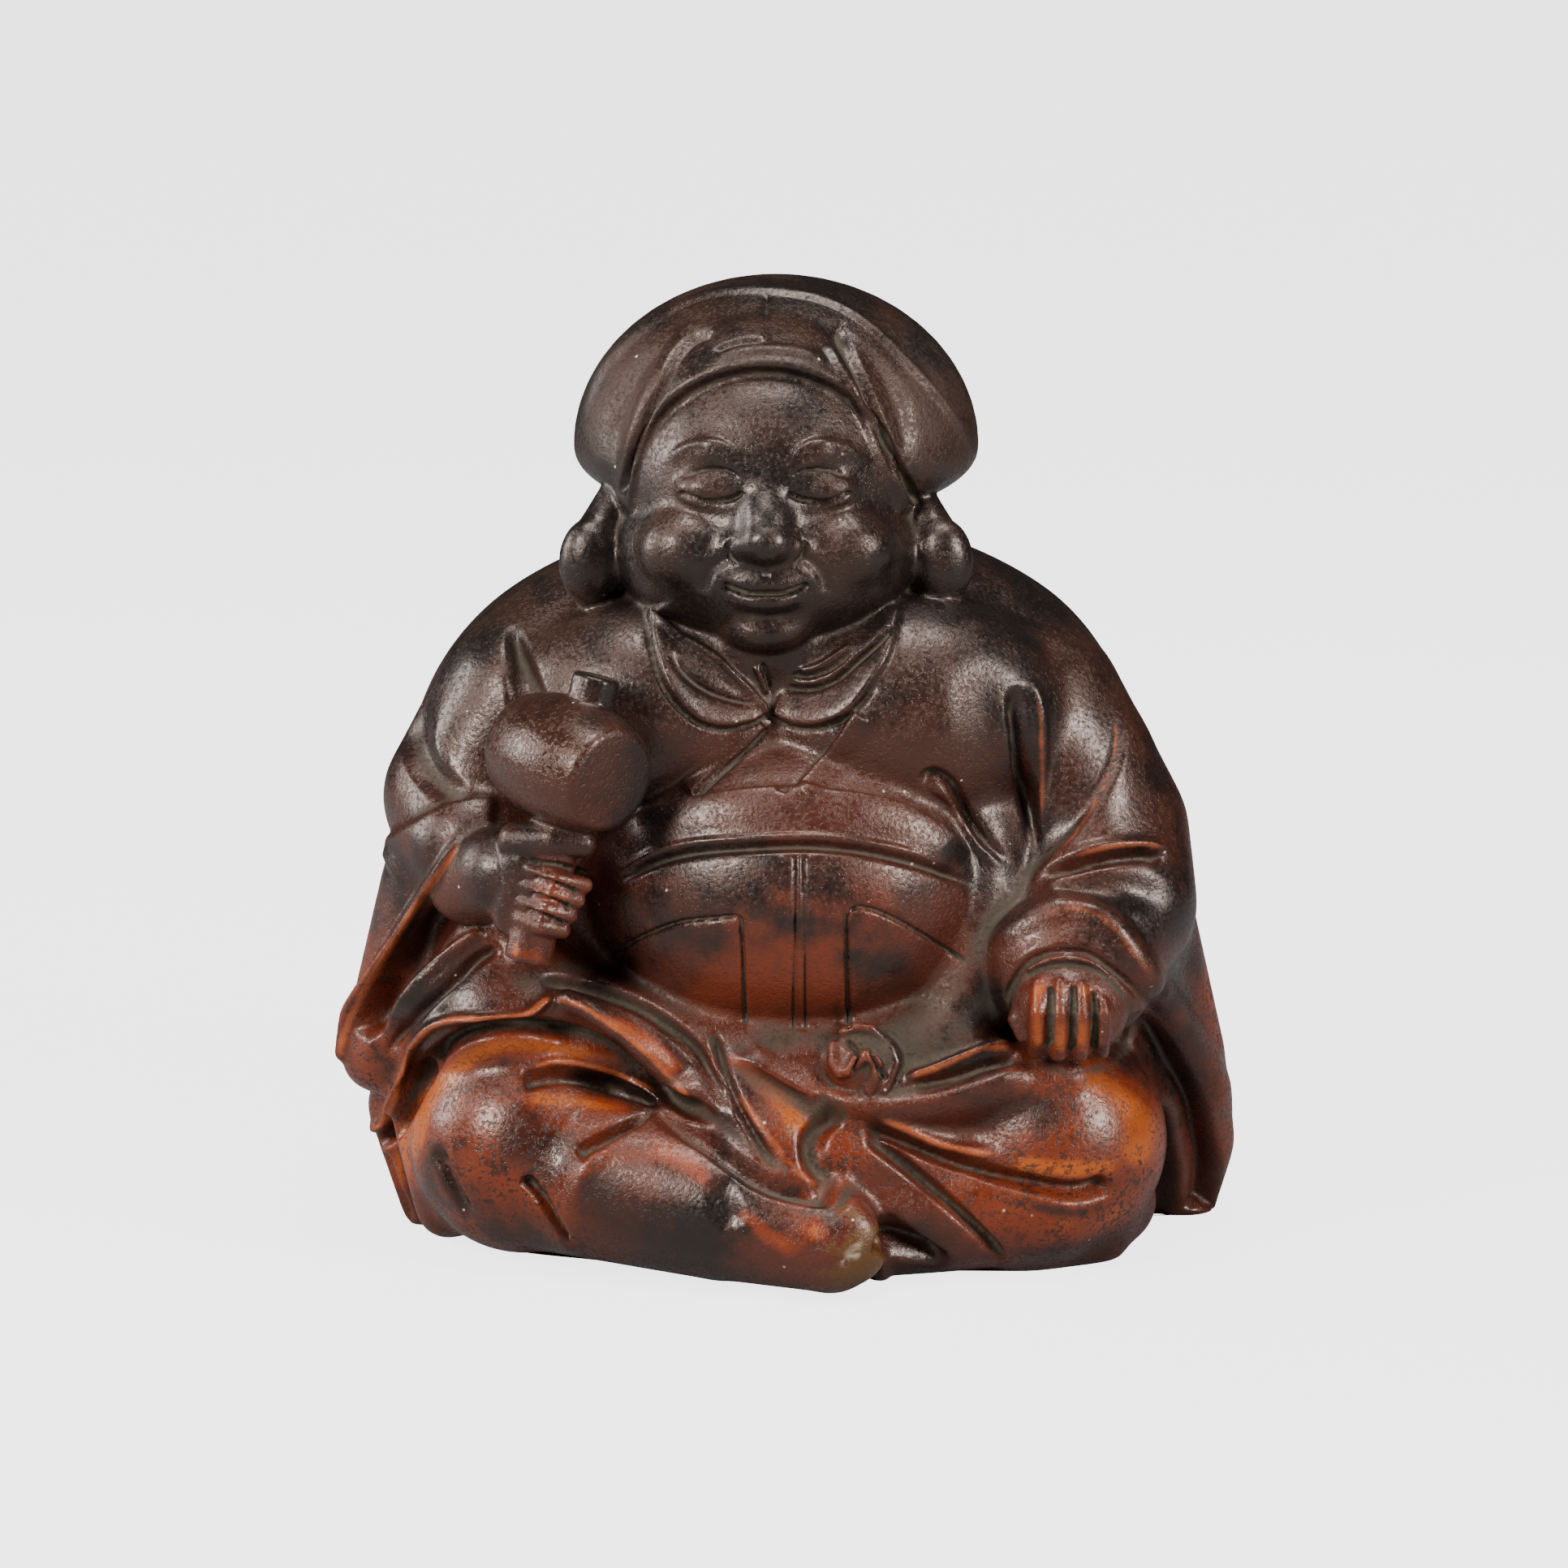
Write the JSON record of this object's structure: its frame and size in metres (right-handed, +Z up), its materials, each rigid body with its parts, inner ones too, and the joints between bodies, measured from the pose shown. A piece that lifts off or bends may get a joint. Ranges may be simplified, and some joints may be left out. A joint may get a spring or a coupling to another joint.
{
  "type": "seated daikoku figure",
  "caption": "Seated robed figure of Daikoku with a soft hood and long ear lobes, a mallet in the right fist and the left hand on the knee, in red-brown stoneware, on a flat base.",
  "frame": {"origin": "on the ground under the middle of the figure, on its flat underside", "axes": "+Z up, -Y towards the viewer of its front, +X to the viewer's right, where its left hand rests"},
  "size_m": [0.1881, 0.1209, 0.197],
  "materials": {
    "stoneware": "unglazed fired clay, dark red-brown with a soft sheen, orange-red at the knees"
  },
  "bodies": {
    "root": {"daikoku_figure": "stoneware"}
  },
  "joints": []
}
